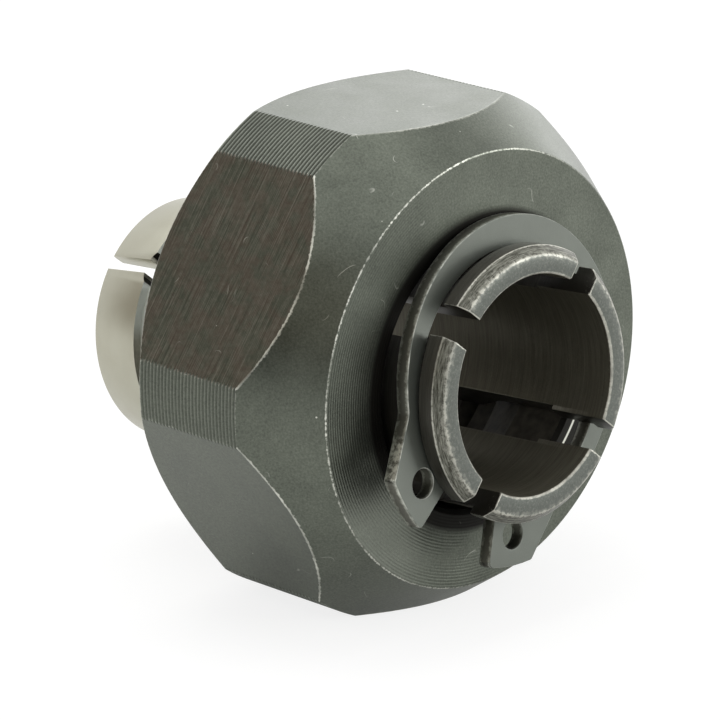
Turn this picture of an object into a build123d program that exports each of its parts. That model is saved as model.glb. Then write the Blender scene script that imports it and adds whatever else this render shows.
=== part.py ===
from build123d import *
import math
import os

# Router collet: a hexagon nut, the split collet that hangs in it and the snap ring that keeps
# the two together. Sizes are in millimetres. The nut's axis is X, the tool enters at +X, +Z is
# up, and the nut lies on one flat. X is 0 at the nut's rear face, which goes over the spindle.

# Hexagon nut, outside
across_flats = 28.575  # for a 1-1/8 in spanner
land_radius = 15.61  # the hexagon's corners are turned down to this
nut_length = 13.6  # rear face to front face
rear_bevel_length = 1.67  # axial length of the bevel behind the corner lands
rear_face_radius = 14.02
land_length = 7.66
front_face_radius = 12.77

# Hexagon nut, inside
thread_crest_radius = 10.2  # the plain bore that the thread's crests reach
thread_root_radius = 11.11  # 7/8 in thread; the thread itself isn't cut here
web_thickness = 3.5
web_hole_radius = 8.2
inner_cone_angle = 30  # from the axis, behind the web
web_edge_break = 0.25

# Split collet, turned form
bore_radius = 6.35  # for a 1/2 in shank
bore_edge_break = 0.1
collet_length = 28.9
collet_stand_off = 4.0  # collet's front face ahead of the nut's front face
head_radius = 7.94
head_length = 1.6
face_bevel_radial = 0.5
face_bevel_length = 0.57
neck_radius = 7.47
neck_length = 7.5
shoulder_radius = 8.8
shoulder_angle = 30  # from the axis
taper_small_radius = 7.31  # at the rear end
taper_angle = 7.27  # per side, from the axis
rear_band_length = 4.0
front_band_length = 3.2
relief_depth = 0.55  # the unground part between the two bands
rear_edge_break = 0.15

# Split collet, cuts
slot_count = 4
first_slot_angle = 50  # from +Y towards +Z
slot_width = 1.9  # through the head
slot_length = 4.0
window_width = 2.4  # behind the head
window_end_radius = 0.9
window_into_band = 0.3  # how far the windows reach into the rear band
slit_width = 0.85  # one slit through the rear band
slit_slot = 1  # which slot it lies in line with, counted from 0

# Snap ring
ring_thickness = 0.85
ring_running_clearance = 0.13  # radial, ring on the collet's neck
ring_outline_radius = 8.88
ring_outline_offset = 0.6  # the section is widest opposite the gap
ring_gap_angle = 235.3  # middle of the gap, from +Y towards +Z
ring_half_gap = 17.5  # degrees
lug_radius = 10.7
lug_side_angle = 37  # outer corner of a lug, in degrees from the middle of the gap
lug_root_angle = 56  # where a lug's side meets the ring
lug_hole_radius = 0.85
lug_hole_place = 8.88  # distance of a lug hole from the axis
lug_hole_angle = 28.5
lug_corner_fillet = 0.3
lug_root_fillet = 1.2

# How the collet hangs in the nut
droop = 4.4  # degrees that the collet's rear end hangs down
pivot_ahead = 0.2  # from the collet's front face to the point it hangs about
ring_lean = 2.7  # degrees that the ring leans on the neck, its lugs forward
ring_face_clearance = 0.06  # between the nut's face and the nearest point of the ring


def turned(points):
    """A solid of revolution about X from its (x, radius) points."""
    return revolve(Plane.XZ * make_face(Polyline(points, close=True)), Axis.X)


def polar(radius, degrees_from_gap):
    """A point of the ring's flat form, whose gap points along -Y."""
    angle = math.radians(degrees_from_gap)
    return (radius * math.sin(angle), -radius * math.cos(angle))


# Nut: a hexagon bar faced and turned, then bored from the rear
land_front_x = rear_bevel_length + land_length
hexagon = extrude(Plane.YZ * RegularPolygon(across_flats / 2, 6, major_radius=False), nut_length)
turned_outside = turned(
    [
        (0, 0),
        (0, rear_face_radius),
        (rear_bevel_length, land_radius),
        (land_front_x, land_radius),
        (nut_length, front_face_radius),
        (nut_length, 0),
    ]
)
web_rear_x = nut_length - web_thickness
cone_length = (thread_crest_radius - web_hole_radius) / math.tan(math.radians(inner_cone_angle))
thread_lead_in = thread_root_radius - thread_crest_radius
nut_inside = turned(
    [
        (0, 0),
        (0, thread_root_radius),
        (thread_lead_in, thread_crest_radius),
        (web_rear_x - cone_length, thread_crest_radius),
        (web_rear_x, web_hole_radius),
        (nut_length - web_edge_break, web_hole_radius),
        (nut_length, web_hole_radius + web_edge_break),
        (nut_length, 0),
    ]
)
collet_nut = (hexagon & turned_outside) - nut_inside

# Collet: turned and bored on the nut's axis, then slotted, and hung at the end
face_x = nut_length + collet_stand_off
rear_x = face_x - collet_length
neck_front_x = face_x - head_length
neck_rear_x = neck_front_x - neck_length
shoulder_x = neck_rear_x - (shoulder_radius - neck_radius) / math.tan(math.radians(shoulder_angle))
slope = math.tan(math.radians(taper_angle))
taper_x = rear_x + (shoulder_radius - taper_small_radius) / slope
rear_band_x = rear_x + rear_band_length
front_band_x = taper_x - front_band_length
collet_turned = turned(
    [
        (face_x, 0),
        (face_x, head_radius - face_bevel_radial),
        (face_x - face_bevel_length, head_radius),
        (neck_front_x, head_radius),
        (neck_front_x, neck_radius),
        (neck_rear_x, neck_radius),
        (shoulder_x, shoulder_radius),
        (taper_x, shoulder_radius),
        (front_band_x, taper_small_radius + (front_band_x - rear_x) * slope),
        (front_band_x, taper_small_radius + (front_band_x - rear_x) * slope - relief_depth),
        (rear_band_x, taper_small_radius + rear_band_length * slope - relief_depth),
        (rear_band_x, taper_small_radius + rear_band_length * slope),
        (rear_x + rear_edge_break, taper_small_radius + rear_edge_break * slope),
        (rear_x, taper_small_radius - rear_edge_break),
        (rear_x, 0),
    ]
)
collet_bore = turned(
    [
        (rear_x, 0),
        (rear_x, bore_radius + bore_edge_break),
        (rear_x + bore_edge_break, bore_radius),
        (face_x - bore_edge_break, bore_radius),
        (face_x, bore_radius + bore_edge_break),
        (face_x, 0),
    ]
)

# Each slot is narrow through the head and opens into a wider window behind it
cut_height = shoulder_radius + 1
window_front_x = face_x - slot_length
window_rear_x = rear_band_x - window_into_band
window_length = window_front_x - window_rear_x
slot = Pos(face_x - slot_length / 2, 0, cut_height / 2) * Box(slot_length, slot_width, cut_height)
window = Pos(window_rear_x + window_length / 2, 0, cut_height / 2) * Box(window_length, window_width, cut_height)
window = fillet(window.edges().filter_by(Axis.Z).group_by(Axis.X)[0], window_end_radius)
slit_length = window_rear_x - rear_x
slit = Pos(rear_x + slit_length / 2, 0, cut_height / 2) * Box(slit_length, slit_width, cut_height)
slot_angles = [first_slot_angle + 360 / slot_count * number - 90 for number in range(slot_count)]
collet = collet_turned - collet_bore
for angle in slot_angles:
    collet -= Rot(angle, 0, 0) * (slot + window)
collet -= Rot(slot_angles[slit_slot], 0, 0) * slit

# Snap ring: stamped flat, with its gap down, then turned, leant and set on the neck
ring_inner_radius = neck_radius + ring_running_clearance
ring_flat = Pos(0, ring_outline_offset) * Circle(ring_outline_radius)
root_angle = math.radians(lug_root_angle)
root_radius = math.sqrt(ring_outline_radius**2 - (ring_outline_offset * math.sin(root_angle)) ** 2)
lug_root = Vector(*polar(root_radius - ring_outline_offset * math.cos(root_angle), lug_root_angle))
lug_corner = Vector(*polar(lug_radius, lug_side_angle))
lug_side = lug_corner - lug_root
gap_end = Vector(*polar(2 * lug_radius, ring_half_gap))
lug_outline = Polyline((0, 0), gap_end, lug_corner + lug_side, lug_root - lug_side / 4, close=True)
lug = Circle(lug_radius) & make_face(lug_outline)
gap = make_face(Polyline((0, 0), gap_end, (-gap_end.X, gap_end.Y), close=True))
ring_flat += lug + mirror(lug, Plane.YZ)
ring_flat -= Circle(ring_inner_radius) + gap
lug_corners = ring_flat.vertices().filter_by(lambda v: Vector(v).length > lug_radius - 0.01)
ring_flat = fillet(lug_corners, lug_corner_fillet)
lug_roots = ring_flat.vertices().filter_by(lambda v: (Vector(abs(v.X), v.Y, 0) - lug_root).length < 0.01)
ring_flat = fillet(lug_roots, lug_root_fillet)
hole_at = polar(lug_hole_place, lug_hole_angle)
ring_flat -= Pos(hole_at[0], hole_at[1]) * Circle(lug_hole_radius)
ring_flat -= Pos(-hole_at[0], hole_at[1]) * Circle(lug_hole_radius)
ring_stamping = extrude(Plane.YZ * ring_flat, ring_thickness)

# The collet hangs about a point of the nut's axis just ahead of its own front face, and the ring
# leans on the neck, as far back as the nut's face lets it
pivot = Pos(face_x + pivot_ahead, 0, 0)
hang = pivot * Rot(0, -droop, 0) * pivot.inverse()
lean = Rot(ring_gap_angle - 270, 0, 0) * Rot(0, -ring_lean, 0)
ring_trial = hang * Pos(neck_front_x, 0, 0) * lean * ring_stamping
gap_to_face = ring_trial.bounding_box().min.X - nut_length
ring_shift = (ring_face_clearance - gap_to_face) / math.cos(math.radians(droop))
retaining_ring = hang * Pos(neck_front_x + ring_shift, 0, 0) * lean * ring_stamping
collet = hang * collet

os.makedirs("parts", exist_ok=True)
for name, piece in (("collet_nut", collet_nut), ("collet", collet), ("retaining_ring", retaining_ring)):
    export_step(piece, f"parts/{name}.step")
    box = piece.bounding_box()
    print(name, len(piece.solids()), round(piece.volume, 2), box.min, box.max)
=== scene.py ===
import math

import bmesh
import bpy
from mathutils import Matrix, Vector


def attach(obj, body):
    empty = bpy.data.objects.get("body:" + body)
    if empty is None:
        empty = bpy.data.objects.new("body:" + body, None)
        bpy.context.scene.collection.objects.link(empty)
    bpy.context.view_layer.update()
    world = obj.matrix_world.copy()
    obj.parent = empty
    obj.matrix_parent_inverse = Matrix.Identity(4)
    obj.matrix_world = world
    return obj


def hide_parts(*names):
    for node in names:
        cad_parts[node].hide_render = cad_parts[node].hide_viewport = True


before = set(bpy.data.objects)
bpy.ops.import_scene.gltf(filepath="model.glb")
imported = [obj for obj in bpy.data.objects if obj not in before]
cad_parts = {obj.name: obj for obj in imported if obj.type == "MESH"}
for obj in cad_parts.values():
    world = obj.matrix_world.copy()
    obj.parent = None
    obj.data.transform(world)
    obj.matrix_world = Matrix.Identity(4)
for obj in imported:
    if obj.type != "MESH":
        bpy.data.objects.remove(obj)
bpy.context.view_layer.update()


# Camera: the place and lens found by fitting a pinhole camera to the photograph's outlines.
# The lens is long, so the picture has almost no perspective.
camera_turn = (71.72358, 0.51712, 44.40312)
bpy.ops.object.camera_add(
    location=(0.184499, -0.183515, 0.083466),
    rotation=[math.radians(angle) for angle in camera_turn],
)
camera = bpy.context.object
camera.data.sensor_width = 36
camera.data.lens = 232.86
camera.data.clip_start = 0.01
bpy.context.scene.camera = camera


# Studio: a plain pale floor under the nut's lower flat, an even pale world, and soft lamps
# overhead, behind, at the side and in front. Camera, glossy and transmission rays see floor and
# world as white, and the floor's shadow shows more in the metal than to the camera.
def linear(code):
    """An sRGB hex colour as the linear colour that a socket takes."""
    parts = [int(code[i : i + 2], 16) / 255 for i in (1, 3, 5)]
    return (*[p / 12.92 if p <= 0.04045 else ((p + 0.055) / 1.055) ** 2.4 for p in parts], 1)


def add(tree, kind, inputs=None, **settings):
    """Adds one node. An input is given a value, or is linked to a socket or a node's own output."""
    made = tree.nodes.new("ShaderNode" + kind)
    for name, value in settings.items():
        setattr(made, name, value)
    for name, value in (inputs or {}).items():
        named = [s for s in made.inputs if s.enabled and s.name == name]
        socket = made.inputs[name] if isinstance(name, int) else named[0]
        if isinstance(value, bpy.types.Node):
            value = [s for s in value.outputs if s.enabled][0]
        if isinstance(value, bpy.types.NodeSocket):
            tree.links.new(value, socket)
        else:
            socket.default_value = value
    return made


floor_level = -0.0142875
floor_gap = 0.00001
paper_glow = 0.82
glow_kept_from_metal = 0.6
bpy.ops.object.select_all(action="DESELECT")
bpy.ops.mesh.primitive_plane_add(size=6, location=(0, 0, floor_level - floor_gap))
floor = bpy.context.object
floor.name = "floor"
paper = bpy.data.materials.new("white_paper_sweep")
paper.use_nodes = True
tree = paper.node_tree
tree.nodes.clear()
rays = add(tree, "LightPath")
seen = add(
    tree, "Math", {0: rays.outputs["Is Camera Ray"], 1: rays.outputs["Is Glossy Ray"]}, operation="MAXIMUM"
)
seen = add(tree, "Math", {0: seen, 1: rays.outputs["Is Transmission Ray"]}, operation="MAXIMUM")
glossy = rays.outputs["Is Glossy Ray"]
paper_colour = add(
    tree, "Mix", {"Factor": glossy, "A": linear("#8c8c8b"), "B": linear("#efefee")}, data_type="RGBA"
)
shadowed = add(tree, "BsdfDiffuse", {"Color": paper_colour.outputs[2]})
glow_strength = add(tree, "Math", {0: seen, 1: paper_glow}, operation="MULTIPLY")
glow_strength = add(
    tree, "Math", {0: glossy, 1: -glow_kept_from_metal, 2: glow_strength}, operation="MULTIPLY_ADD"
)
glow = add(tree, "Emission", {"Color": (1, 1, 1, 1), "Strength": glow_strength})
both = add(tree, "AddShader", {0: shadowed, 1: glow})
add(tree, "OutputMaterial", {"Surface": both})
floor.data.materials.append(paper)

world = bpy.data.worlds.new("pale_studio")
bpy.context.scene.world = world
world.use_nodes = True
tree = world.node_tree
tree.nodes.clear()
rays = add(tree, "LightPath")
seen = add(
    tree, "Math", {0: rays.outputs["Is Camera Ray"], 1: rays.outputs["Is Glossy Ray"]}, operation="MAXIMUM"
)
seen = add(tree, "Math", {0: seen, 1: rays.outputs["Is Transmission Ray"]}, operation="MAXIMUM")
level = add(tree, "MapRange", {"Value": seen, "To Min": 0.6, "To Max": 1.0})
sky = add(tree, "Background", {"Color": (1, 1, 1, 1), "Strength": level})
add(tree, "OutputWorld", {"Surface": sky})

for name, place, watts, size in (
    ("overhead_softbox", (-0.15, 0.01, 0.65), 1.4, 0.5),
    ("rear_softbox", (-0.39, 0.76, 0.22), 1.35, 0.6),
    ("side_softbox", (0.5, 0.55, 0.2), 2.0, 0.4),
    ("front_softbox", (0.52, 0.08, 0.28), 0.12, 0.12),
):
    bpy.ops.object.light_add(type="AREA", location=place)
    lamp = bpy.context.object
    lamp.name = name
    lamp.data.energy = watts
    lamp.data.size = size
    lamp.rotation_euler = Vector(place).to_track_quat("Z", "Y").to_euler()

# A warm grey wall on the left and a narrow black flag before it, out of view, which only the
# metal's reflections show: the flag is the soft dark band across the nut's cone
for name, place, size, paint_name, colour in (
    ("studio_wall", (-0.25, -0.9, 0.05), (2.4, 2.4, 1), "warm_grey_wall_paint", "#a79f93"),
    ("black_flag", (0.13, -0.25, 0.013), (0.28, 0.08, 1), "black_flag_cloth", "#0c0b0a"),
):
    bpy.ops.mesh.primitive_plane_add(size=1, location=place, rotation=(math.radians(90), 0, 0))
    wall = bpy.context.object
    wall.name = name
    wall.scale = size
    wall.visible_camera = wall.visible_diffuse = wall.visible_shadow = False
    paint = bpy.data.materials.new(paint_name)
    paint.use_nodes = True
    tree = paint.node_tree
    tree.nodes.clear()
    glow = add(tree, "Emission", {"Color": linear(colour), "Strength": 1.0})
    add(tree, "OutputMaterial", {"Surface": glow})
    wall.data.materials.append(paint)

bpy.context.scene.view_settings.view_transform = "Standard"


# Nut: turned from hexagon bar of steel, bored and threaded from the rear, and blackened. Its
# corners keep the fine ridges of the turning tool. It is drawn in millimetres on a lathe line,
# spun, cut to its six flats and tapped, and then brought to metres.
across_flats = 28.575
land_radius = 15.61
nut_length = 13.6
rear_bevel_length = 1.67
rear_face_radius = 14.02
land_length = 7.66
front_face_radius = 12.77
thread_crest_radius = 10.2
thread_root_radius = 11.11
web_thickness = 3.5
web_hole_radius = 8.2
inner_cone_angle = 30
web_edge_break = 0.25
ridge_count = 28
ridge_depth = 0.09
ridge_crest_share = 0.3
ridge_root_share = 0.65
rim_round = 0.05
thread_pitch = 25.4 / 14
thread_turns = 4
tap_overreach = 0.2


def draw(name, points):
    """Draws a closed line through (x, radius) points in mm, where Y is 0, and stays in edit mode."""
    bpy.ops.object.select_all(action="DESELECT")
    bpy.ops.mesh.primitive_plane_add(size=1)
    piece = bpy.context.object
    piece.name = piece.data.name = name
    bpy.ops.object.mode_set(mode="EDIT")
    bpy.ops.mesh.select_mode(type="VERT")
    bpy.ops.mesh.select_all(action="SELECT")
    bpy.ops.mesh.merge(type="CENTER")
    bpy.ops.transform.translate(value=(points[0][0], 0, points[0][1]))
    for start, end in zip(points, points[1:] + points[:1]):
        step = (end[0] - start[0], 0, end[1] - start[1])
        bpy.ops.mesh.extrude_region_move(TRANSFORM_OT_translate={"value": step})
    bpy.ops.mesh.select_all(action="SELECT")
    bpy.ops.mesh.remove_doubles(threshold=0.001)
    return piece


def spin(piece, steps):
    """Spins a drawn line a full turn about X and closes its seam."""
    bpy.ops.mesh.select_all(action="SELECT")
    bpy.ops.mesh.spin(steps=steps, angle=math.tau, center=(0, 0, 0), axis=(1, 0, 0))
    bpy.ops.mesh.select_all(action="SELECT")
    bpy.ops.mesh.remove_doubles(threshold=0.001)
    bpy.ops.mesh.normals_make_consistent(inside=False)
    bpy.ops.object.mode_set(mode="OBJECT")


def cut(piece, tool):
    """Takes the tool's shape out of the piece and removes the tool."""
    bpy.ops.object.select_all(action="DESELECT")
    bpy.context.view_layer.objects.active = piece
    piece.select_set(True)
    bpy.ops.object.modifier_add(type="BOOLEAN")
    away = piece.modifiers[-1]
    away.object = tool
    away.solver = "EXACT"
    bpy.ops.object.modifier_apply(modifier=away.name)
    bpy.data.objects.remove(tool)


def finish_piece(piece, smooth_angle):
    """Brings a piece from millimetres to metres and shades it smooth up to an angle."""
    bpy.ops.object.select_all(action="DESELECT")
    bpy.context.view_layer.objects.active = piece
    piece.select_set(True)
    piece.scale = (0.001, 0.001, 0.001)
    bpy.ops.object.transform_apply(location=True, rotation=True, scale=True)
    bpy.ops.object.shade_smooth_by_angle(angle=math.radians(smooth_angle))


land_front = rear_bevel_length + land_length
cone_slope = (land_radius - front_face_radius) / (nut_length - land_front)
web_rear = nut_length - web_thickness
inner_cone = (thread_crest_radius - web_hole_radius) / math.tan(math.radians(inner_cone_angle))
pitch = land_length / ridge_count
ridges = []
for number in range(ridge_count):
    ridge_start = rear_bevel_length + number * pitch
    ridges += [
        (ridge_start, land_radius),
        (ridge_start + pitch * ridge_crest_share, land_radius),
        (ridge_start + pitch * ridge_root_share, land_radius - ridge_depth),
    ]
nut = draw(
    "hexagon_nut",
    [
        (0, rear_face_radius - rim_round),
        (rim_round, rear_face_radius + rim_round / 2),
        *ridges,
        (land_front, land_radius),
        (nut_length - rim_round, front_face_radius + rim_round * cone_slope),
        (nut_length, front_face_radius - rim_round),
        (nut_length, web_hole_radius + web_edge_break),
        (nut_length - web_edge_break, web_hole_radius),
        (web_rear, web_hole_radius),
        (web_rear - inner_cone, thread_crest_radius),
        (thread_root_radius - thread_crest_radius, thread_crest_radius),
        (0, thread_root_radius),
    ],
)
spin(nut, steps=192)
bpy.ops.object.mode_set(mode="EDIT")
for flat in range(6):
    angle = math.radians(30 + 60 * flat)
    outward = Vector((0, math.cos(angle), math.sin(angle)))
    bpy.ops.mesh.select_all(action="SELECT")
    bpy.ops.mesh.bisect(
        plane_co=outward * across_flats / 2,
        plane_no=outward,
        use_fill=True,
        clear_outer=True,
        threshold=0.00001,
    )
bpy.ops.object.mode_set(mode="OBJECT")

groove_root = thread_pitch / 16
groove_side = math.tan(math.radians(30))
groove_top = thread_crest_radius - tap_overreach
tap = draw(
    "tap",
    [
        (-groove_root, thread_root_radius),
        (groove_root, thread_root_radius),
        (groove_root + groove_side * (thread_root_radius - groove_top), groove_top),
        (-groove_root - groove_side * (thread_root_radius - groove_top), groove_top),
    ],
)
bpy.ops.transform.translate(value=(-thread_pitch, 0, 0))
bpy.ops.object.mode_set(mode="OBJECT")
bpy.ops.object.modifier_add(type="SCREW")
helix = tap.modifiers[-1]
helix.axis = "X"
helix.screw_offset = thread_pitch
helix.iterations = thread_turns
helix.steps = helix.render_steps = 96
bpy.ops.object.modifier_apply(modifier=helix.name)
bpy.ops.object.mode_set(mode="EDIT")
bpy.ops.mesh.select_all(action="SELECT")
bpy.ops.mesh.fill_holes(sides=0)
bpy.ops.mesh.select_all(action="SELECT")
bpy.ops.mesh.normals_make_consistent(inside=False)
bpy.ops.object.mode_set(mode="OBJECT")
cut(nut, tap)
finish_piece(nut, smooth_angle=25)
flat_ways = [Vector((1, 0, 0))]
for angle in (30, 90, 150):
    flat_ways.append(Vector((0, math.cos(math.radians(angle)), math.sin(math.radians(angle)))))
for facet in nut.data.polygons:
    facet.use_smooth = max(abs(facet.normal.dot(way)) for way in flat_ways) < 0.9999

# Black oxide on steel: a thin dark layer that keeps the tool marks, with a satin sheen that
# turns pale where it is seen at a low angle, and bright bare steel where an edge is rubbed.
oxide = bpy.data.materials.new("black_oxide_on_turned_and_milled_steel")
oxide.use_nodes = True
tree = oxide.node_tree
shader = tree.nodes["Principled BSDF"]
object_place = add(tree, "TexCoord").outputs["Object"]
in_mm = add(tree, "VectorMath", {0: object_place, "Scale": 1000}, operation="SCALE")
axes = add(tree, "SeparateXYZ", {0: in_mm})
round_axis = add(tree, "CombineXYZ", {"Y": axes.outputs["Y"], "Z": axes.outputs["Z"]})
radius = add(tree, "VectorMath", {0: round_axis}, operation="LENGTH")

# How deep each point lies below the flats, the cone, the face, the corner lands and the bevel
across = None
for angle in (90, 30, 150):
    outward = (0, math.cos(math.radians(angle)), math.sin(math.radians(angle)))
    reach = add(tree, "VectorMath", {0: in_mm, 1: outward}, operation="DOT_PRODUCT")
    reach = add(tree, "Math", {0: reach}, operation="ABSOLUTE")
    across = add(tree, "Math", {0: across, 1: reach}, operation="MAXIMUM") if across else reach
from_flat = add(tree, "Math", {0: across_flats / 2, 1: across}, operation="SUBTRACT")
cone_offset = land_radius + land_front * cone_slope
cone_radius = add(
    tree, "Math", {0: axes.outputs["X"], 1: -cone_slope, 2: cone_offset}, operation="MULTIPLY_ADD"
)
from_cone = add(tree, "Math", {0: cone_radius, 1: radius}, operation="SUBTRACT")
from_face = add(tree, "Math", {0: nut_length, 1: axes.outputs["X"]}, operation="SUBTRACT")
from_land = add(tree, "Math", {0: land_radius, 1: radius}, operation="SUBTRACT")
bevel_slope = (land_radius - rear_face_radius) / rear_bevel_length
bevel_radius = add(
    tree, "Math", {0: axes.outputs["X"], 1: bevel_slope, 2: rear_face_radius}, operation="MULTIPLY_ADD"
)
from_bevel = add(tree, "Math", {0: bevel_radius, 1: radius}, operation="SUBTRACT")

# Worn lines, about a twentieth of a millimetre wide: the edges between those surfaces, each
# with its width and how bare it is. They fade towards +Y, and along the edges of the top flat.
ragged = add(tree, "TexNoise", {"Vector": in_mm, "Scale": 5, "Detail": 4, "Roughness": 0.6}).outputs["Fac"]
ragged = add(
    tree, "MapRange", {"Value": ragged, "From Min": 0.3, "From Max": 0.7, "To Min": -0.03, "To Max": 0.04}
)
wear_and_highlight = None
for first, second, width, bareness in (
    (from_cone, from_face, 0.06, 0.9),
    (from_flat, from_cone, 0.06, 1),
    (from_land, from_cone, 0.04, 0.25),
    (from_land, from_flat, 0.04, 0.2),
    (from_flat, from_bevel, 0.05, 0.7),
    (from_land, from_bevel, 0.05, 0.5),
):
    edge = add(tree, "Math", {0: first, 1: second}, operation="MAXIMUM")
    edge = add(tree, "Math", {0: edge, 1: ragged}, operation="ADD")
    line = add(
        tree, "MapRange", {"Value": edge, "From Min": width, "From Max": width / 2, "To Max": bareness}
    )
    wear_and_highlight = add(tree, "Math", {0: wear_and_highlight, 1: line}, operation="MAXIMUM") if wear_and_highlight else line
fade_towards_plus_y = add(tree, "MapRange", {"Value": axes.outputs["Y"], "From Min": 9, "From Max": -2, "To Min": 0.15})
patches = add(tree, "TexNoise", {"Vector": in_mm, "Scale": 0.5, "Detail": 3}).outputs["Fac"]
patches = add(tree, "MapRange", {"Value": patches, "From Min": 0.35, "From Max": 0.6, "To Min": 0.3})
wear_and_highlight = add(tree, "Math", {0: wear_and_highlight, 1: fade_towards_plus_y}, operation="MULTIPLY")
on_top = add(
    tree,
    "MapRange",
    {"Value": axes.outputs["Z"], "From Min": 13.9, "From Max": 14.2, "To Min": 1, "To Max": 0.45},
)
wear_and_highlight = add(tree, "Math", {0: wear_and_highlight, 1: on_top}, operation="MULTIPLY")
wear_and_highlight = add(tree, "Math", {0: wear_and_highlight, 1: patches}, operation="MULTIPLY")

# A bright arc on the face at a radius of 9.05 mm, beside the collet's lower right slot
arc_radius = 9.05
arc_way = (0, math.cos(math.radians(320)), math.sin(math.radians(320)))
on_arc = add(tree, "VectorMath", {0: in_mm, 1: arc_way}, operation="DOT_PRODUCT")
on_arc = add(tree, "Math", {0: on_arc, 1: radius}, operation="DIVIDE")
on_arc = add(tree, "MapRange", {"Value": on_arc, "From Min": 0.94, "From Max": 0.97, "To Max": 0.9})
from_arc = add(tree, "Math", {0: radius, 1: arc_radius}, operation="SUBTRACT")
from_arc = add(tree, "Math", {0: from_arc}, operation="ABSOLUTE")
from_arc = add(tree, "Math", {0: from_arc, 1: from_face}, operation="MAXIMUM")
line = add(tree, "MapRange", {"Value": from_arc, "From Min": 0.1, "From Max": 0.06})
line = add(tree, "Math", {0: line, 1: on_arc}, operation="MULTIPLY")
wear_and_highlight = add(tree, "Math", {0: wear_and_highlight, 1: line}, operation="MAXIMUM")

# Chips in the layer, a twentieth to a tenth of a millimetre across, and a few hairline scratches
cells = add(tree, "TexVoronoi", {"Vector": in_mm, "Scale": 0.9}, feature="F1")
chosen = add(tree, "SeparateColor", {0: cells.outputs["Color"]})
chip_size = add(
    tree, "MapRange", {"Value": chosen, "From Min": 0.5, "From Max": 1, "To Min": 0, "To Max": 0.08}
)
chip = add(tree, "Math", {0: chip_size, 1: cells.outputs["Distance"]}, operation="SUBTRACT")
chip = add(tree, "MapRange", {"Value": chip, "From Max": 0.015, "To Max": 0.85})
winding = add(tree, "TexNoise", {"Vector": in_mm, "Scale": 0.45, "Detail": 1}).outputs["Fac"]
winding = add(tree, "Math", {0: winding, 1: 0.5}, operation="SUBTRACT")
winding = add(tree, "Math", {0: winding}, operation="ABSOLUTE")
hairline = add(tree, "MapRange", {"Value": winding, "From Min": 0.007, "From Max": 0.002})
here_and_there = add(
    tree, "TexNoise", {"Vector": in_mm, "Scale": 0.9, "Detail": 0, "Distortion": 0.3}
).outputs["Fac"]
here_and_there = add(
    tree, "MapRange", {"Value": here_and_there, "From Min": 0.7, "From Max": 0.8, "To Max": 0.45}
)
hairline = add(tree, "Math", {0: hairline, 1: here_and_there}, operation="MULTIPLY")
off_ridges = add(tree, "MapRange", {"Value": from_land, "From Min": 0.1, "From Max": 0.15})
hairline = add(tree, "Math", {0: hairline, 1: off_ridges}, operation="MULTIPLY")
chip = add(tree, "Math", {0: chip, 1: hairline}, operation="MAXIMUM")
wear_and_highlight = add(tree, "Math", {0: wear_and_highlight, 1: chip}, operation="MAXIMUM")

# The satin of the layer: wide soft clouds, and grains drawn a tenth of a millimetre across,
# coarser than the real ones, so that they show
grain = add(tree, "TexNoise", {"Vector": in_mm, "Scale": 8, "Detail": 4, "Roughness": 0.65}).outputs["Fac"]
satin = add(tree, "MapRange", {"Value": grain, "From Min": 0.32, "From Max": 0.68})
cloud = add(tree, "TexNoise", {"Vector": in_mm, "Scale": 0.35, "Detail": 3}).outputs["Fac"]
satin = add(tree, "Math", {0: cloud, 1: 1.2, 2: satin}, operation="MULTIPLY_ADD")
satin = add(tree, "MapRange", {"Value": satin, "From Min": 0.3, "From Max": 1.9})
satin_colour = add(
    tree, "Mix", {"Factor": satin, "A": linear("#4e524a"), "B": linear("#74796e")}, data_type="RGBA"
)

# The flat above the left corner is browner, and keeps the marks of the mill: lines a twentieth
# of a millimetre apart that run up it at a slant, a few of them pale, over brown mottling
milled_way = (0, math.cos(math.radians(150)), math.sin(math.radians(150)))
milled = add(tree, "VectorMath", {0: in_mm, 1: milled_way}, operation="DOT_PRODUCT")
on_milled = add(
    tree,
    "MapRange",
    {"Value": milled, "From Min": across_flats / 2 - 0.03, "From Max": across_flats / 2 - 0.01},
)
beside_mark = add(tree, "VectorMath", {0: in_mm, 1: (1, -0.06, -0.104)}, operation="DOT_PRODUCT")
along_mark = add(tree, "VectorMath", {0: in_mm, 1: (0, 0.5, 0.866)}, operation="DOT_PRODUCT")
mark_place = add(tree, "CombineXYZ", {"X": beside_mark, "Y": along_mark})
fine_place = add(tree, "Mapping", {"Vector": mark_place, "Scale": (22, 0.25, 1)})
marks = add(
    tree, "TexNoise", {"Vector": fine_place, "Scale": 1, "Detail": 3, "Roughness": 0.6}
).outputs["Fac"]
marks = add(tree, "MapRange", {"Value": marks, "From Min": 0.36, "From Max": 0.64})
mottled = add(tree, "TexNoise", {"Vector": in_mm, "Scale": 3, "Detail": 4, "Roughness": 0.65}).outputs["Fac"]
mottled = add(
    tree, "MapRange", {"Value": mottled, "From Min": 0.35, "From Max": 0.65, "To Min": 0.35, "To Max": 0.9}
)
mark_tone = add(tree, "Math", {0: marks, 1: mottled}, operation="MULTIPLY")
pale_place = add(tree, "Mapping", {"Vector": mark_place, "Location": (5, 0, 3), "Scale": (20, 0.12, 1)})
pale_marks = add(tree, "TexNoise", {"Vector": pale_place, "Scale": 1, "Detail": 2}).outputs["Fac"]
pale_marks = add(tree, "MapRange", {"Value": pale_marks, "From Min": 0.61, "From Max": 0.74, "To Max": 0.55})
browned = add(tree, "TexNoise", {"Vector": in_mm, "Scale": 0.8, "Detail": 4, "Roughness": 0.6}).outputs["Fac"]
browned = add(tree, "MapRange", {"Value": browned, "From Min": 0.42, "From Max": 0.58})
dark_marks = add(
    tree, "Mix", {"Factor": browned, "A": linear("#43483d"), "B": linear("#51483f")}, data_type="RGBA"
)
milled_colour = add(
    tree, "Mix", {"Factor": mark_tone, "A": dark_marks, "B": linear("#7b7a6e")}, data_type="RGBA"
)
milled_colour = add(
    tree, "Mix", {"Factor": pale_marks, "A": milled_colour, "B": linear("#a5a296")}, data_type="RGBA"
)
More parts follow.
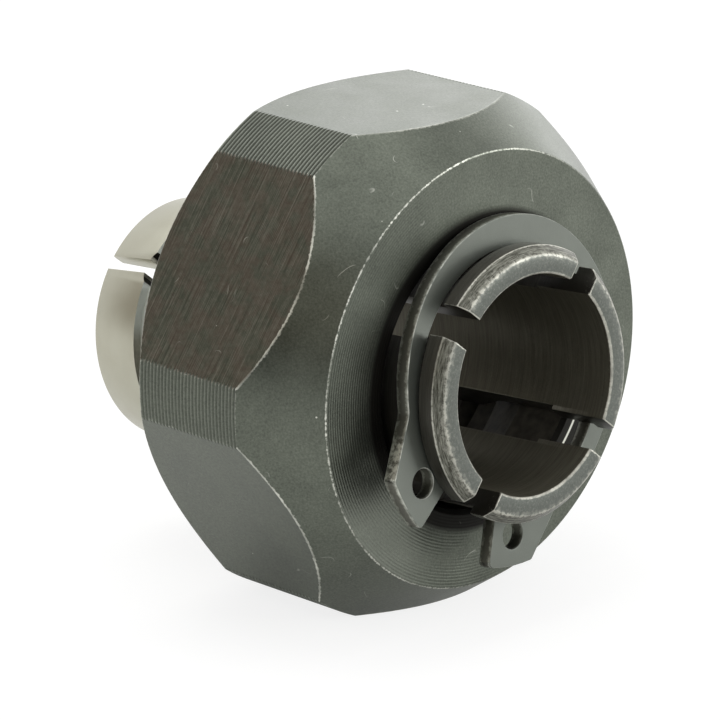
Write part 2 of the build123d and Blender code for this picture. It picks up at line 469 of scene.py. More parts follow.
surface_colour = add(
    tree, "Mix", {"Factor": on_milled, "A": satin_colour, "B": milled_colour}, data_type="RGBA"
)
on_face = add(tree, "MapRange", {"Value": from_face, "From Min": 0.03, "From Max": 0.01})
# Painted highlight: the face is lighter towards the lower left, at 221° round the axis
highlight_way = (0, math.cos(math.radians(221)), math.sin(math.radians(221)))
painted_highlight = add(tree, "VectorMath", {0: in_mm, 1: highlight_way}, operation="DOT_PRODUCT")
painted_highlight = add(tree, "Math", {0: painted_highlight, 1: radius}, operation="DIVIDE")
painted_highlight = add(tree, "MapRange", {"Value": painted_highlight, "From Min": 0.88, "From Max": 0.98, "To Max": 0.2})
painted_highlight = add(tree, "Math", {0: painted_highlight, 1: on_face}, operation="MULTIPLY")
surface_colour = add(
    tree, "Mix", {"Factor": painted_highlight, "A": surface_colour, "B": linear("#9ca096")}, data_type="RGBA"
)

# Turning marks on both ends: rings about the axis 0.18 mm apart, as the photograph shows them,
# deepest at the lower left. At the upper left their valleys are painted darker: the dark layer
# they hold, and painted shade where the light picks the rings out.
ring_pitch = 0.18
ring_line = add(tree, "Math", {0: radius, 1: math.tau / ring_pitch}, operation="MULTIPLY")
ring_line = add(tree, "Math", {0: ring_line}, operation="SINE")
valley_layer_and_shade = add(tree, "MapRange", {"Value": ring_line, "From Min": 1, "From Max": -1, "To Max": 0.32})
at_left = add(tree, "VectorMath", {0: in_mm, 1: (0, -0.94, 0.34)}, operation="DOT_PRODUCT")
at_left = add(tree, "Math", {0: at_left, 1: radius}, operation="DIVIDE")
at_left = add(tree, "MapRange", {"Value": at_left, "From Min": 0.5, "From Max": 0.8})
valley_layer_and_shade = add(tree, "Math", {0: valley_layer_and_shade, 1: at_left}, operation="MULTIPLY")
valley_layer_and_shade = add(tree, "Math", {0: valley_layer_and_shade, 1: on_face}, operation="MULTIPLY")
surface_colour = add(
    tree, "Mix", {"Factor": valley_layer_and_shade, "A": surface_colour, "B": linear("#31332e")}, data_type="RGBA"
)

# The roots of the ridges hold more of the layer and are painted darker towards the top, as
# painted shade; the face is painted darker behind the snap ring, as the ring's painted shadow
from_edges = add(tree, "Math", {0: from_flat, 1: from_cone}, operation="MINIMUM")
on_land = add(tree, "MapRange", {"Value": from_edges, "From Min": 0.005, "From Max": 0.02})
within_land = add(tree, "MapRange", {"Value": from_land, "From Min": 0.2, "From Max": 0.15})
root = add(tree, "MapRange", {"Value": from_land, "From Min": 0.01, "From Max": ridge_depth * 0.7})
painted_light_upward = add(
    tree,
    "MapRange",
    {"Value": axes.outputs["Z"], "From Min": 4, "From Max": 10, "To Min": 0.22, "To Max": 0.55},
)
root = add(tree, "Math", {0: root, 1: painted_light_upward}, operation="MULTIPLY")
root = add(tree, "Math", {0: root, 1: on_land}, operation="MULTIPLY")
root = add(tree, "Math", {0: root, 1: within_land}, operation="MULTIPLY")
# Painted highlight: the crests of the ridges are lighter, more so towards the top
crest = add(tree, "MapRange", {"Value": from_land, "From Min": 0.015, "From Max": 0.005, "To Max": 0.2})
crest = add(tree, "Math", {0: crest, 1: painted_light_upward}, operation="MULTIPLY")
crest = add(tree, "Math", {0: crest, 1: on_land}, operation="MULTIPLY")
wear_and_highlight = add(tree, "Math", {0: wear_and_highlight, 1: crest}, operation="MAXIMUM")
# Painted shadow: the face is darker at radii under about 9.6 mm, behind the snap ring
painted_shade_behind_ring = add(tree, "Math", {0: on_arc, 1: -0.6, 2: radius}, operation="MULTIPLY_ADD")
painted_shade_behind_ring = add(tree, "MapRange", {"Value": painted_shade_behind_ring, "From Min": 9.6, "From Max": 9.2})
darker_layer_and_painted_shade = add(tree, "Math", {0: root, 1: painted_shade_behind_ring}, operation="MAXIMUM")
# Painted shade and painted reflection: the face is darker to the left of the collet, where the collet's head
# shades it and shows dark in it
leftward = add(tree, "VectorMath", {0: in_mm, 1: (0, -0.98, -0.17)}, operation="DOT_PRODUCT")
leftward = add(tree, "Math", {0: leftward, 1: radius}, operation="DIVIDE")
leftward = add(tree, "MapRange", {"Value": leftward, "From Min": 0.8, "From Max": 0.96})
painted_shade_left = add(tree, "MapRange", {"Value": radius, "From Min": 12.6, "From Max": 9.8, "To Max": 0.25})
painted_shade_left = add(tree, "Math", {0: painted_shade_left, 1: leftward}, operation="MULTIPLY")
painted_shade_left = add(tree, "Math", {0: painted_shade_left, 1: on_face}, operation="MULTIPLY")
darker_layer_and_painted_shade = add(tree, "Math", {0: darker_layer_and_painted_shade, 1: painted_shade_left}, operation="MAXIMUM")
# The darker layer of the ridge roots and the painted shade, in one dark colour
surface_colour = add(
    tree, "Mix", {"Factor": darker_layer_and_painted_shade, "A": surface_colour, "B": linear("#201f1b")}, data_type="RGBA"
)
surface_colour = add(
    tree, "Mix", {"Factor": wear_and_highlight, "A": surface_colour, "B": linear("#dedfd4")}, data_type="RGBA"
)

# The same rings as relief, and the marks of the mill and the grains of the layer with them
on_rear = add(tree, "MapRange", {"Value": axes.outputs["X"], "From Min": 0.03, "From Max": 0.01})
on_ends = add(tree, "Math", {0: on_face, 1: on_rear}, operation="MAXIMUM")
ring_height = add(tree, "Math", {0: ring_line, 1: on_ends}, operation="MULTIPLY")
lower_left = add(tree, "VectorMath", {0: in_mm, 1: (0, -0.8, -0.6)}, operation="DOT_PRODUCT")
lower_left = add(
    tree, "MapRange", {"Value": lower_left, "From Min": 0, "From Max": 9, "To Min": 0.2, "To Max": 1.5}
)
ring_height = add(tree, "Math", {0: ring_height, 1: lower_left}, operation="MULTIPLY")
mark_height = add(tree, "Math", {0: marks, 1: on_milled}, operation="MULTIPLY")
height = add(tree, "Math", {0: ring_height, 1: 0.004}, operation="MULTIPLY")
height = add(tree, "Math", {0: mark_height, 1: 0.004, 2: height}, operation="MULTIPLY_ADD")
height = add(tree, "Math", {0: grain, 1: 0.008, 2: height}, operation="MULTIPLY_ADD")
bump = add(tree, "Bump", {"Height": height, "Distance": 0.001, "Strength": 0.8})
tree.links.new(bump.outputs["Normal"], shader.inputs["Normal"])
tree.links.new(surface_colour.outputs[2], shader.inputs["Base Color"])
sheen = add(
    tree, "MapRange", {"Value": cloud, "From Min": 0.3, "From Max": 0.7, "To Min": 0.3, "To Max": 0.38}
)
sheen = add(tree, "Math", {0: darker_layer_and_painted_shade, 1: 0.2, 2: sheen}, operation="MULTIPLY_ADD")
tree.links.new(sheen.outputs["Value"], shader.inputs["Roughness"])
shader.inputs["Metallic"].default_value = 0.85

# The same layer inside the nut, dull and nearly black: a darker copy of the oxide, painted shade for the
# inside
painted_shade_inside = bpy.data.materials.new("painted_shade_black_oxide_inside_the_nut")
painted_shade_inside.use_nodes = True
tree = painted_shade_inside.node_tree
shader = tree.nodes["Principled BSDF"]
in_mm = add(
    tree, "VectorMath", {0: add(tree, "TexCoord").outputs["Object"], "Scale": 1000}, operation="SCALE"
)
inside_mottle = add(tree, "TexNoise", {"Vector": in_mm, "Scale": 1.5, "Detail": 4}).outputs["Fac"]
inside_mottle = add(tree, "MapRange", {"Value": inside_mottle, "From Min": 0.35, "From Max": 0.65})
inside_colour = add(
    tree, "Mix", {"Factor": inside_mottle, "A": linear("#35322b"), "B": linear("#524e45")}, data_type="RGBA"
)
bump = add(tree, "Bump", {"Height": inside_mottle, "Distance": 0.00001, "Strength": 1})
tree.links.new(bump.outputs["Normal"], shader.inputs["Normal"])
tree.links.new(inside_colour.outputs[2], shader.inputs["Base Color"])
shader.inputs["Roughness"].default_value = 0.6
shader.inputs["Specular IOR Level"].default_value = 0.3

nut.data.materials.clear()
nut.data.materials.append(oxide)
nut.data.materials.append(painted_shade_inside)
inside_radius = thread_root_radius + 0.05
inside_front = nut_length - web_edge_break - 0.01
for facet in nut.data.polygons:
    place = facet.center * 1000
    if math.hypot(place.y, place.z) < inside_radius and place.x < inside_front:
        facet.material_index = 1
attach(nut, "nut")
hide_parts("collet_nut")


# Collet: turned and bored from one piece of spring steel, blackened, slotted from the front and
# through the rear band, and ground bright on the two bands of its taper. It is drawn and cut
# on the nut's axis and then hung by its front face, as it lies in the photograph.
bore_radius = 6.35
collet_length = 28.9
collet_stand_off = 4.0
head_radius = 7.94
head_length = 1.6
face_bevel_radial = 0.5
face_bevel_length = 0.57
neck_radius = 7.47
neck_length = 7.5
shoulder_radius = 8.8
shoulder_angle = 30
taper_small_radius = 7.31
taper_angle = 7.27
rear_band_length = 4.0
front_band_length = 3.2
relief_depth = 0.55
rear_edge_break = 0.15
slot_angles = (50, 140, 230, 320)
slot_width = 1.9
slot_length = 4.0
window_width = 2.4
window_end_radius = 0.9
window_into_band = 0.3
slit_width = 0.85
slit_angle = 140
bore_edge_break = 0.1
head_edge_break = 0.05
droop = 4.4
pivot = Vector((17.8, 0, 0))

face = nut_length + collet_stand_off
rear = face - collet_length
neck_front = face - head_length
neck_rear = neck_front - neck_length
shoulder = neck_rear - (shoulder_radius - neck_radius) / math.tan(math.radians(shoulder_angle))
taper = math.tan(math.radians(taper_angle))
taper_front = rear + (shoulder_radius - taper_small_radius) / taper
rear_band = rear + rear_band_length
front_band = taper_front - front_band_length
rear_band_radius = taper_small_radius + rear_band_length * taper
front_band_radius = taper_small_radius + (front_band - rear) * taper
front_edge = head_radius - face_bevel_radial  # three points round it off, as wear has done
collet = draw(
    "split_collet",
    [
        (face, bore_radius + bore_edge_break),
        (face, front_edge - 0.13),
        (face - 0.026, front_edge - 0.012),
        (face - 0.098, front_edge + 0.086),
        (face - face_bevel_length, head_radius),
        (neck_front + head_edge_break, head_radius),
        (neck_front, head_radius - head_edge_break),
        (neck_front, neck_radius),
        (neck_rear, neck_radius),
        (shoulder, shoulder_radius),
        (taper_front, shoulder_radius),
        (front_band, front_band_radius),
        (front_band, front_band_radius - relief_depth),
        (rear_band, rear_band_radius - relief_depth),
        (rear_band, rear_band_radius),
        (rear + rear_edge_break, taper_small_radius + rear_edge_break * taper),
        (rear, taper_small_radius - rear_edge_break),
        (rear, bore_radius + bore_edge_break),
        (rear + bore_edge_break, bore_radius),
        (face - bore_edge_break, bore_radius),
    ],
)
spin(collet, steps=160)
window_front = face - slot_length
window_rear = rear_band - window_into_band
cut_top = shoulder_radius + 1
cut_bottom = bore_radius - 2

# The saw cuts, from front to back: slots, windows and the slit, each reaching into the next
for front, back, width, end_radius, angles in (
    (face + 1, window_front - 0.1, slot_width, 0, slot_angles),
    (window_front, window_rear, window_width, window_end_radius, slot_angles),
    (window_rear + 0.2, rear - 1, slit_width, 0, (slit_angle,)),
):
    for angle in angles:
        bpy.ops.object.select_all(action="DESELECT")
        bpy.ops.mesh.primitive_cube_add(
            size=1,
            location=((front + back) / 2, 0, (cut_top + cut_bottom) / 2),
            scale=(front - back, width, cut_top - cut_bottom),
        )
        saw = bpy.context.object
        bpy.ops.object.transform_apply(location=True, rotation=True, scale=True)
        if end_radius:
            bpy.ops.object.mode_set(mode="EDIT")
            bpy.ops.mesh.select_mode(type="EDGE")
            bpy.ops.mesh.select_all(action="DESELECT")
            edges = bmesh.from_edit_mesh(saw.data).edges
            for edge in edges:
                ends = [v.co for v in edge.verts]
                edge.select = all(abs(v.x - back) < 0.01 for v in ends) and abs(ends[0].z - ends[1].z) > 1
            bpy.ops.mesh.bevel(offset=end_radius, offset_type="OFFSET", segments=8, affect="EDGES")
            bpy.ops.mesh.select_mode(type="VERT")
            bpy.ops.object.mode_set(mode="OBJECT")
        saw.rotation_euler = (math.radians(angle - 90), 0, 0)
        bpy.ops.object.transform_apply(location=True, rotation=True, scale=True)
        cut(collet, saw)

# A small rounding on every sharp edge, which the light catches
bpy.ops.object.select_all(action="DESELECT")
bpy.context.view_layer.objects.active = collet
collet.select_set(True)
bpy.ops.object.modifier_add(type="BEVEL")
rounding = collet.modifiers[-1]
rounding.width = 0.045
rounding.segments = 2
rounding.limit_method = "ANGLE"
rounding.angle_limit = math.radians(30)
bpy.ops.object.modifier_apply(modifier=rounding.name)
bpy.ops.object.mode_set(mode="EDIT")
bpy.ops.mesh.select_all(action="SELECT")
bpy.ops.mesh.delete_loose()
bpy.ops.object.mode_set(mode="OBJECT")

# Hung about a point near its front face, rear end down
hung = Matrix.Translation(pivot) @ Matrix.Rotation(math.radians(-droop), 4, "Y") @ Matrix.Translation(-pivot)
collet.matrix_world = hung
bpy.ops.object.transform_apply(location=True, rotation=True, scale=True)
finish_piece(collet, smooth_angle=25)

# Black oxide over turned spring steel: darker than the nut, brown in the bore, rubbed to bare
# steel in specks and lines about the front face, with a painted highlight along the face's edge.
# Its patterns lie on the hung collet's own axis.
own_axis = {
    "Location": pivot / 1000,
    "Rotation": (0, math.radians(-droop), 0),
    "Scale": (0.001, 0.001, 0.001),
}
spring = bpy.data.materials.new("black_oxide_on_turned_spring_steel")
spring.use_nodes = True
tree = spring.node_tree
shader = tree.nodes["Principled BSDF"]
object_place = add(tree, "TexCoord").outputs["Object"]
own_place = add(tree, "Mapping", {"Vector": object_place, **own_axis}, vector_type="TEXTURE")
axes = add(tree, "SeparateXYZ", {0: own_place})
round_axis = add(tree, "CombineXYZ", {"Y": axes.outputs["Y"], "Z": axes.outputs["Z"]})
radius = add(tree, "VectorMath", {0: round_axis}, operation="LENGTH")
from_front = add(tree, "Math", {0: face - pivot.x, 1: axes.outputs["X"]}, operation="SUBTRACT")
from_bore = add(tree, "Math", {0: radius, 1: bore_radius}, operation="SUBTRACT")
from_side = add(tree, "Math", {0: head_radius, 1: radius}, operation="SUBTRACT")
bevel_slope = face_bevel_radial / face_bevel_length
bevel_radius = add(
    tree, "Math", {0: from_front, 1: bevel_slope, 2: front_edge}, operation="MULTIPLY_ADD"
)
from_bevel = add(tree, "Math", {0: bevel_radius, 1: radius}, operation="SUBTRACT")
slot_gap = None
for angle in slot_angles[:2]:
    sideways = (0, -math.sin(math.radians(angle)), math.cos(math.radians(angle)))
    beside = add(tree, "VectorMath", {0: own_place, 1: sideways}, operation="DOT_PRODUCT")
    beside = add(tree, "Math", {0: beside}, operation="ABSOLUTE")
    slot_gap = add(tree, "Math", {0: slot_gap, 1: beside}, operation="MINIMUM") if slot_gap else beside
from_slot = add(tree, "Math", {0: slot_gap, 1: slot_width / 2}, operation="SUBTRACT")

# Scratches run round the head, a little under a tenth of a millimetre apart. They are drawn on
# the way round from the first slot, so that no seam shows.
scratches_per_mm = 13
start = math.radians(slot_angles[0] + 180)
ahead = add(
    tree, "VectorMath", {0: own_place, 1: (0, math.cos(start), math.sin(start))}, operation="DOT_PRODUCT"
)
aside = add(
    tree, "VectorMath", {0: own_place, 1: (0, -math.sin(start), math.cos(start))}, operation="DOT_PRODUCT"
)
turn = add(tree, "Math", {0: aside, 1: ahead}, operation="ARCTAN2")
around = add(tree, "Math", {0: turn, 1: head_radius * 1.2}, operation="MULTIPLY")
across = add(tree, "Math", {0: radius, 1: scratches_per_mm}, operation="MULTIPLY")
inward = add(tree, "Math", {0: from_front, 1: scratches_per_mm}, operation="MULTIPLY")
scratch_place = add(tree, "CombineXYZ", {"X": across, "Y": inward, "Z": around})
scratches = add(
    tree, "TexNoise", {"Vector": scratch_place, "Scale": 1, "Detail": 3, "Roughness": 0.65}
).outputs["Fac"]
scratches = add(tree, "MapRange", {"Value": scratches, "From Min": 0.38, "From Max": 0.7})

# Worn lines and a wide painted highlight: the edges, each with its width in mm, how far it
# wanders, and how bright it is
ragged = add(
    tree, "TexNoise", {"Vector": own_place, "Scale": 4, "Detail": 5, "Roughness": 0.65}
).outputs["Fac"]
ragged = add(tree, "MapRange", {"Value": ragged, "From Min": 0.3, "From Max": 0.7, "To Min": -1, "To Max": 1})
wear_and_highlight = None
for first, second, width, wander, bareness in (
    (from_front, from_bore, 0.15, 0.04, 1),
    (from_front, from_bevel, 0.11, 0.08, 0.72),
    # Painted highlight: a wide soft band along the edge between face and bevel, where the rounded edge
    # catches light
    (from_front, from_bevel, 0.24, 0.28, 0.22),
    (from_bevel, from_side, 0.05, 0.03, 0.8),
    (from_front, from_slot, 0.08, 0.04, 1),
    (from_bevel, from_slot, 0.08, 0.05, 0.9),
    (from_side, from_slot, 0.05, 0.04, 0.5),
):
    edge = add(tree, "Math", {0: first, 1: second}, operation="MAXIMUM")
    edge = add(tree, "Math", {0: ragged, 1: wander, 2: edge}, operation="MULTIPLY_ADD")
    line = add(
        tree, "MapRange", {"Value": edge, "From Min": width, "From Max": width * 0.4, "To Max": bareness}
    )
    wear_and_highlight = add(tree, "Math", {0: wear_and_highlight, 1: line}, operation="MAXIMUM") if wear_and_highlight else line
patches = add(tree, "TexNoise", {"Vector": own_place, "Scale": 0.7, "Detail": 3}).outputs["Fac"]
patches = add(tree, "MapRange", {"Value": patches, "From Min": 0.35, "From Max": 0.6, "To Min": 0.5})
wear_and_highlight = add(tree, "Math", {0: wear_and_highlight, 1: patches}, operation="MULTIPLY")
grain = add(tree, "TexNoise", {"Vector": own_place, "Scale": 8, "Detail": 4, "Roughness": 0.7}).outputs["Fac"]
specks = add(tree, "MapRange", {"Value": grain, "From Min": 0.58, "From Max": 0.72, "To Max": 0.12})
on_front = add(tree, "MapRange", {"Value": from_front, "From Min": 0.65, "From Max": 0.55})
specks = add(tree, "Math", {0: specks, 1: on_front}, operation="MULTIPLY")
wear_and_highlight = add(tree, "Math", {0: wear_and_highlight, 1: specks}, operation="MAXIMUM")

# Colours: a smooth grey face, a browner scratched bevel, dark sides, and a brown-black bore
line_place = add(tree, "Mapping", {"Vector": own_place, "Scale": (11, 0.4, 0.4)})
along = add(
    tree, "TexNoise", {"Vector": line_place, "Scale": 1, "Detail": 5, "Roughness": 0.65}
).outputs["Fac"]
along = add(tree, "MapRange", {"Value": along, "From Min": 0.3, "From Max": 0.7})
satin = add(tree, "MapRange", {"Value": grain, "From Min": 0.3, "From Max": 0.7})
side_colour = add(
    tree, "Mix", {"Factor": along, "A": linear("#3d3b35"), "B": linear("#57554d")}, data_type="RGBA"
)
face_colour = add(
    tree, "Mix", {"Factor": satin, "A": linear("#565a54"), "B": linear("#6e726b")}, data_type="RGBA"
)
bevel_colour = add(
    tree, "Mix", {"Factor": scratches, "A": linear("#38372d"), "B": linear("#929387")}, data_type="RGBA"
)
bore_colour = add(
    tree, "Mix", {"Factor": along, "A": linear("#595649"), "B": linear("#757265")}, data_type="RGBA"
)
on_wall = add(tree, "MapRange", {"Value": from_slot, "From Min": 0.05, "From Max": 0.03})
on_face = add(tree, "MapRange", {"Value": from_front, "From Min": 0.04, "From Max": 0.02})
on_bevel = add(tree, "MapRange", {"Value": from_bevel, "From Min": 0.04, "From Max": 0.02})
in_bore = add(tree, "MapRange", {"Value": from_bore, "From Min": 0.03, "From Max": 0.01})
surface_colour = add(tree, "Mix", {"Factor": on_bevel, "A": side_colour, "B": bevel_colour}, data_type="RGBA")
surface_colour = add(
    tree, "Mix", {"Factor": on_wall, "A": surface_colour, "B": linear("#2b2923")}, data_type="RGBA"
)
surface_colour = add(
    tree, "Mix", {"Factor": on_face, "A": surface_colour, "B": face_colour}, data_type="RGBA"
)
surface_colour = add(
    tree, "Mix", {"Factor": in_bore, "A": surface_colour, "B": bore_colour}, data_type="RGBA"
)
surface_colour = add(
    tree, "Mix", {"Factor": wear_and_highlight, "A": surface_colour, "B": linear("#dcdbce")}, data_type="RGBA"
)
height = add(tree, "Math", {0: along, 1: 0.005}, operation="MULTIPLY")
height = add(tree, "Math", {0: grain, 1: 0.008, 2: height}, operation="MULTIPLY_ADD")
bump = add(tree, "Bump", {"Height": height, "Distance": 0.001, "Strength": 0.8})
tree.links.new(bump.outputs["Normal"], shader.inputs["Normal"])
tree.links.new(surface_colour.outputs[2], shader.inputs["Base Color"])
shader.inputs["Metallic"].default_value = 0.5
shader.inputs["Roughness"].default_value = 0.36

# Ground steel: bright, with fine scratches round the bands from the wheel, drawn 0.07 mm apart,
# coarser than the real ones
ground = bpy.data.materials.new("ground_steel_bands")
ground.use_nodes = True
tree = ground.node_tree
shader = tree.nodes["Principled BSDF"]
object_place = add(tree, "TexCoord").outputs["Object"]
own_place = add(tree, "Mapping", {"Vector": object_place, **own_axis}, vector_type="TEXTURE")
axes = add(tree, "SeparateXYZ", {0: own_place})
along = add(
    tree, "TexNoise", {"W": axes.outputs["X"], "Scale": 14, "Detail": 4}, noise_dimensions="1D"
).outputs["Fac"]
stain = add(tree, "TexNoise", {"Vector": own_place, "Scale": 0.5, "Detail": 3}).outputs["Fac"]
steel_colour = add(
    tree, "Mix", {"Factor": stain, "A": linear("#b0ad9c"), "B": linear("#c1c0b1")}, data_type="RGBA"
)
bump = add(tree, "Bump", {"Height": along, "Distance": 0.000006, "Strength": 1})
tree.links.new(bump.outputs["Normal"], shader.inputs["Normal"])
tree.links.new(steel_colour.outputs[2], shader.inputs["Base Color"])
shader.inputs["Metallic"].default_value = 0.9
shader.inputs["Roughness"].default_value = 0.36

# Turned steel of the relief between the bands: duller than the ground bands, stained in lines
# round it, and painted lighter beside the slit as a painted highlight
turned = bpy.data.materials.new("turned_steel_of_the_relief")
turned.use_nodes = True
tree = turned.node_tree
shader = tree.nodes["Principled BSDF"]
object_place = add(tree, "TexCoord").outputs["Object"]
own_place = add(tree, "Mapping", {"Vector": object_place, **own_axis}, vector_type="TEXTURE")
line_place = add(tree, "Mapping", {"Vector": own_place, "Scale": (9, 0.6, 0.6)})
stain = add(
    tree, "TexNoise", {"Vector": line_place, "Scale": 1, "Detail": 5, "Roughness": 0.7}
).outputs["Fac"]
stain = add(tree, "MapRange", {"Value": stain, "From Min": 0.3, "From Max": 0.7})
axes = add(tree, "SeparateXYZ", {0: own_place})
round_axis = add(tree, "CombineXYZ", {"Y": axes.outputs["Y"], "Z": axes.outputs["Z"]})
radius = add(tree, "VectorMath", {0: round_axis}, operation="LENGTH")
# Painted highlight: lighter beside the slit, at 146° round the collet
highlight_way = (0, math.cos(math.radians(146)), math.sin(math.radians(146)))
painted_highlight = add(tree, "VectorMath", {0: own_place, 1: highlight_way}, operation="DOT_PRODUCT")
painted_highlight = add(tree, "Math", {0: painted_highlight, 1: radius}, operation="DIVIDE")
painted_highlight = add(tree, "MapRange", {"Value": painted_highlight, "From Min": 0.88, "From Max": 0.94})
line_colour = add(
    tree, "Mix", {"Factor": stain, "A": linear("#8b897d"), "B": linear("#cfcfc3")}, data_type="RGBA"
)
turned_colour = add(tree, "Mix", {"Factor": painted_highlight, "A": line_colour, "B": linear("#e4e8e2")}, data_type="RGBA")
bump = add(tree, "Bump", {"Height": stain, "Distance": 0.00001, "Strength": 1})
tree.links.new(bump.outputs["Normal"], shader.inputs["Normal"])
tree.links.new(turned_colour.outputs[2], shader.inputs["Base Color"])
shader.inputs["Metallic"].default_value = 0.75
shader.inputs["Roughness"].default_value = 0.42

# Ground steel on the two bands and in the slit, turned steel between them, black elsewhere
collet.data.materials.clear()
for material in (spring, ground, turned):
    collet.data.materials.append(material)
upright = hung.inverted()
for facet in collet.data.polygons:
    place = upright @ (facet.center * 1000)
    out = math.hypot(place.y, place.z)
    cone = taper_small_radius + (place.x - rear) * taper
    in_slit = place.x < window_rear + 0.05 and out > bore_radius + 0.05
    on_band = place.x < rear_band or front_band < place.x < taper_front
    if in_slit or (on_band and out > cone - 0.2):
        facet.material_index = 1
    elif rear_band <= place.x <= front_band and out > cone - relief_depth - 0.1:
        facet.material_index = 2
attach(collet, "collet")
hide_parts("collet")


# Snap ring: stamped from spring steel and phosphated to a satin grey. The middle of its cut edge
# is torn and dark, and its front corner is rubbed bright. It sits loosely on the collet's neck.
snap_ring = bpy.data.objects.new("snap_ring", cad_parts["retaining_ring"].data.copy())
bpy.context.scene.collection.objects.link(snap_ring)
bpy.ops.object.select_all(action="DESELECT")
bpy.context.view_layer.objects.active = snap_ring
snap_ring.select_set(True)
snap_ring.scale = (1000, 1000, 1000)
bpy.ops.object.transform_apply(location=True, rotation=True, scale=True)
bpy.ops.object.mode_set(mode="EDIT")
bpy.ops.mesh.select_all(action="SELECT")
bpy.ops.mesh.remove_doubles(threshold=0.001)
bpy.ops.mesh.normals_make_consistent(inside=False)
bpy.ops.mesh.dissolve_limited(angle_limit=math.radians(0.5))
bpy.ops.mesh.select_all(action="DESELECT")
bpy.ops.mesh.edges_select_sharp(sharpness=math.radians(40))
bpy.ops.mesh.bevel(offset=0.05, offset_type="OFFSET", segments=2, affect="EDGES")
bpy.ops.object.mode_set(mode="OBJECT")
finish_piece(snap_ring, smooth_angle=35)

# Phosphated steel: an even satin grey with soft clouds. Its crystals are drawn a tenth of a
# millimetre across, coarser than the real ones.
phosphate = bpy.data.materials.new("phosphated_stamped_spring_steel")
phosphate.use_nodes = True
tree = phosphate.node_tree
shader = tree.nodes["Principled BSDF"]
in_mm = add(
    tree, "VectorMath", {0: add(tree, "TexCoord").outputs["Object"], "Scale": 1000}, operation="SCALE"
)
grain = add(tree, "TexNoise", {"Vector": in_mm, "Scale": 10, "Detail": 4}).outputs["Fac"]
cloud = add(tree, "TexNoise", {"Vector": in_mm, "Scale": 0.5, "Detail": 3}).outputs["Fac"]
grey = add(tree, "Mix", {"Factor": cloud, "A": linear("#676b64"), "B": linear("#757a72")}, data_type="RGBA")
bump = add(tree, "Bump", {"Height": grain, "Distance": 0.000006, "Strength": 1})
tree.links.new(bump.outputs["Normal"], shader.inputs["Normal"])
tree.links.new(grey.outputs[2], shader.inputs["Base Color"])
shader.inputs["Metallic"].default_value = 0.55
shader.inputs["Roughness"].default_value = 0.36

# The corner where the layer is rubbed through: bright in patches, most of all at the left
rubbed = bpy.data.materials.new("rubbed_edge_of_the_snap_ring")
rubbed.use_nodes = True
tree = rubbed.node_tree
shader = tree.nodes["Principled BSDF"]
in_mm = add(
    tree, "VectorMath", {0: add(tree, "TexCoord").outputs["Object"], "Scale": 1000}, operation="SCALE"
)
patches = add(tree, "TexNoise", {"Vector": in_mm, "Scale": 1.5, "Detail": 3}).outputs["Fac"]
patches = add(tree, "MapRange", {"Value": patches, "From Min": 0.4, "From Max": 0.65})
leftward = add(tree, "VectorMath", {0: in_mm, 1: (0, -0.95, 0.3)}, operation="DOT_PRODUCT")
leftward = add(tree, "MapRange", {"Value": leftward, "From Min": 4, "From Max": 8.5, "To Min": 0.25})
patches = add(tree, "Math", {0: patches, 1: leftward}, operation="MULTIPLY")
edge_colour = add(
    tree, "Mix", {"Factor": patches, "A": linear("#787c75"), "B": linear("#d4d6cb")}, data_type="RGBA"
)
tree.links.new(edge_colour.outputs[2], shader.inputs["Base Color"])
shader.inputs["Metallic"].default_value = 0.7
shader.inputs["Roughness"].default_value = 0.45

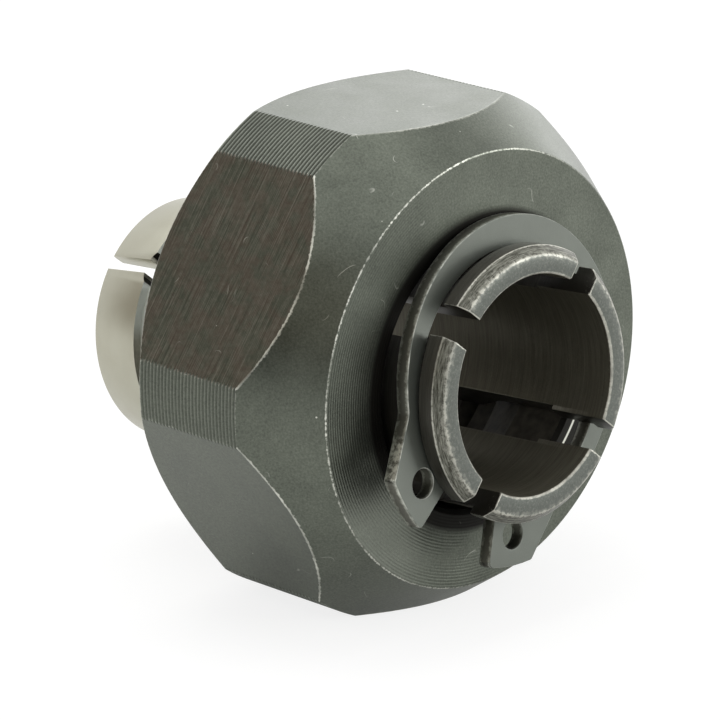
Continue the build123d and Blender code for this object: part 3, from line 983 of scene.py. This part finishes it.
# The cut edge: bright and smooth near both faces, where the punch sheared it, and torn and dark
# halfway through. The left lug's side is lighter in flecks.
sheared = bpy.data.materials.new("sheared_edge_of_the_snap_ring")
sheared.use_nodes = True
tree = sheared.node_tree
shader = tree.nodes["Principled BSDF"]
in_mm = add(
    tree, "VectorMath", {0: add(tree, "TexCoord").outputs["Object"], "Scale": 1000}, operation="SCALE"
)
flat_way = max(snap_ring.data.polygons, key=lambda facet: facet.area).normal.copy()
heights = [flat_way.dot(point.co) * 1000 for point in snap_ring.data.vertices]
through = add(tree, "VectorMath", {0: in_mm, 1: flat_way}, operation="DOT_PRODUCT")
through = add(tree, "Math", {0: through, 1: (max(heights) + min(heights)) / 2}, operation="SUBTRACT")
through = add(tree, "Math", {0: through}, operation="ABSOLUTE")
torn = add(tree, "TexNoise", {"Vector": in_mm, "Scale": 3, "Detail": 5, "Roughness": 0.7}).outputs["Fac"]
torn = add(
    tree, "MapRange", {"Value": torn, "From Min": 0.3, "From Max": 0.7, "To Min": -0.16, "To Max": 0.16}
)
zone = add(tree, "Math", {0: through, 1: torn}, operation="ADD")
zone = add(tree, "MapRange", {"Value": zone, "From Min": 0.2, "From Max": 0.42})
torn_colour = add(
    tree, "Mix", {"Factor": zone, "A": linear("#6a6a62"), "B": linear("#b4b6ac")}, data_type="RGBA"
)
axes = add(tree, "SeparateXYZ", {0: in_mm})
on_lug = add(tree, "VectorMath", {0: in_mm, 1: (0, -0.966, -0.259)}, operation="DOT_PRODUCT")
on_lug = add(tree, "MapRange", {"Value": on_lug, "From Min": 9, "From Max": 9.3, "To Max": 0.8})
on_its_side = add(tree, "MapRange", {"Value": axes.outputs["Z"], "From Min": -3.8, "From Max": -3.5})
flecks = add(tree, "MapRange", {"Value": torn, "From Min": -0.06, "From Max": 0.06})
flecks = add(tree, "Math", {0: flecks, 1: on_lug}, operation="MULTIPLY")
flecks = add(tree, "Math", {0: flecks, 1: on_its_side}, operation="MULTIPLY")
torn_colour = add(
    tree, "Mix", {"Factor": flecks, "A": torn_colour.outputs[2], "B": linear("#d6d8cd")}, data_type="RGBA"
)
bump = add(tree, "Bump", {"Height": torn, "Distance": 0.00003, "Strength": 1})
tree.links.new(bump.outputs["Normal"], shader.inputs["Normal"])
tree.links.new(torn_colour.outputs[2], shader.inputs["Base Color"])
shader.inputs["Metallic"].default_value = 1
shader.inputs["Roughness"].default_value = 0.5

snap_ring.data.materials.clear()
for material in (phosphate, rubbed, sheared):
    snap_ring.data.materials.append(material)
for facet in snap_ring.data.polygons:
    facing = abs(facet.normal.dot(flat_way))
    facet.use_smooth = facing < 0.999
    facet.material_index = 0 if facing > 0.95 else 2 if facing < 0.1 else 1
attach(snap_ring, "ring")
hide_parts("retaining_ring")
